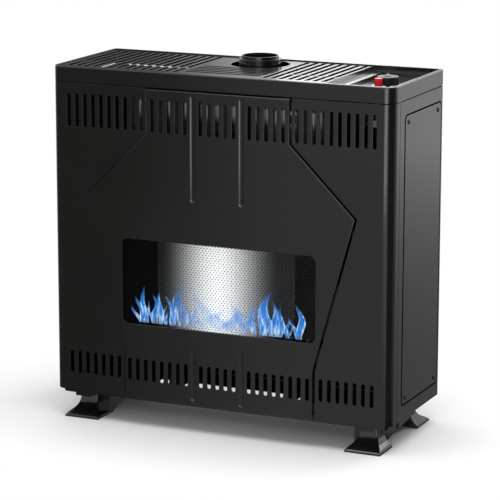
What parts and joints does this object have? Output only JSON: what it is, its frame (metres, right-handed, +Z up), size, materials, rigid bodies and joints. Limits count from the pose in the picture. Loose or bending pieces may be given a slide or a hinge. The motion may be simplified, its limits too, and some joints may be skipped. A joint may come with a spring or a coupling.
{
  "type": "gas heater",
  "caption": "Free-standing flued gas room heater: slotted steel casing on flared feet, raised front panel with a flame window, flue outlet, control knob and igniter button on top.",
  "frame": {"origin": "on the floor, under the middle of the heater's width and depth", "axes": "+Z up, -Y out of the front with the flame window, +X towards the side with the controls"},
  "size_m": [0.7046, 0.272, 0.708],
  "materials": {
    "enamel": "satin charcoal enamel",
    "grille_enamel": "satin grey enamel",
    "foot_black": "gloss black coating",
    "pad_rubber": "matt",
    "zinc_sheet": "galvanised sheet",
    "fastener_steel": "zinc plated",
    "window_glass": "heat-resistant clear",
    "gasket_rope": "woven glass tape",
    "frame_steel": "matt black heat paint",
    "heat_steel": "aluminised sheet",
    "flue_steel": "turned",
    "screen_steel": "perforated sheet",
    "burner_steel": "heat-dulled",
    "brass": "machined",
    "copper_pipe": "drawn copper",
    "ceramic": "glazed ceramic",
    "lead_rubber": "silicone sleeve",
    "valve_alloy": "cast",
    "knob_black": "satin",
    "knob_silver": "spun",
    "button_red": "gloss",
    "bezel_black": "gloss",
    "peg_light": "gloss"
  },
  "bodies": {
    "heater": {"back_panel": "zinc_sheet", "back_panel_screws": "fastener_steel", "base_frame": "enamel", "burner_injector": "brass", "burner_pipe": "copper_pipe", "burner_tube": "burner_steel", "burner_venturi": "burner_steel", "chamber_bracket_left": "zinc_sheet", "chamber_bracket_right": "zinc_sheet", "combustion_chamber": "heat_steel", "control_panel": "grille_enamel", "cover_screws": "fastener_steel", "draught_hood": "heat_steel", "flue_collar": "flue_steel", "foot_bolts": "fastener_steel", "foot_pads": "pad_rubber", "front_centre_panel": "enamel", "front_left_foot": "foot_black", "front_left_post": "zinc_sheet", "front_left_wing": "enamel", "front_right_foot": "foot_black", "front_right_post": "zinc_sheet", "front_right_wing": "enamel", "gas_inlet": "brass", "gas_valve": "valve_alloy", "glass_frame": "frame_steel", "glass_studs": "fastener_steel", "heat_exchanger": "heat_steel", "igniter_bezel": "bezel_black", "igniter_body": "bezel_black", "ignition_lead": "lead_rubber", "index_peg": "peg_light", "inlet_bracket": "zinc_sheet", "left_access_cover": "enamel", "left_side_panel": "enamel", "panel_clips": "zinc_sheet", "pilot_bracket": "zinc_sheet", "pilot_burner": "brass", "pilot_pipe": "copper_pipe", "radiant_screen": "screen_steel", "rear_left_foot": "foot_black", "rear_left_post": "zinc_sheet", "rear_right_foot": "foot_black", "rear_right_post": "zinc_sheet", "right_access_cover": "enamel", "right_side_panel": "enamel", "spark_electrode": "ceramic", "supply_pipe": "copper_pipe", "thermocouple": "copper_pipe", "top_frame": "enamel", "top_grille": "grille_enamel", "window_gasket": "gasket_rope", "window_glass": "window_glass"},
    "spindle_slider": {"spindle_cup": "valve_alloy"},
    "knob": {"control_knob": "knob_black", "knob_cap": "knob_silver", "valve_spindle": "valve_alloy"},
    "igniter": {"igniter_button": "button_red"}
  },
  "joints": [
    {"name": "knob_push", "type": "slide", "parent": "heater", "child": "spindle_slider", "axis": [0, 0, -1], "range_m": [0, 0.004], "stiffness_N_per_m": 800, "springref_m": -0.004},
    {"name": "knob_turn", "type": "hinge", "parent": "spindle_slider", "child": "knob", "pos_m": [0.29, -0.0075, 0.68], "axis": [0, 0, 1], "range_deg": [-60, 150]},
    {"name": "igniter_push", "type": "slide", "parent": "heater", "child": "igniter", "axis": [0, 0, -1], "range_m": [0, 0.006], "stiffness_N_per_m": 600, "springref_m": -0.004}
  ]
}
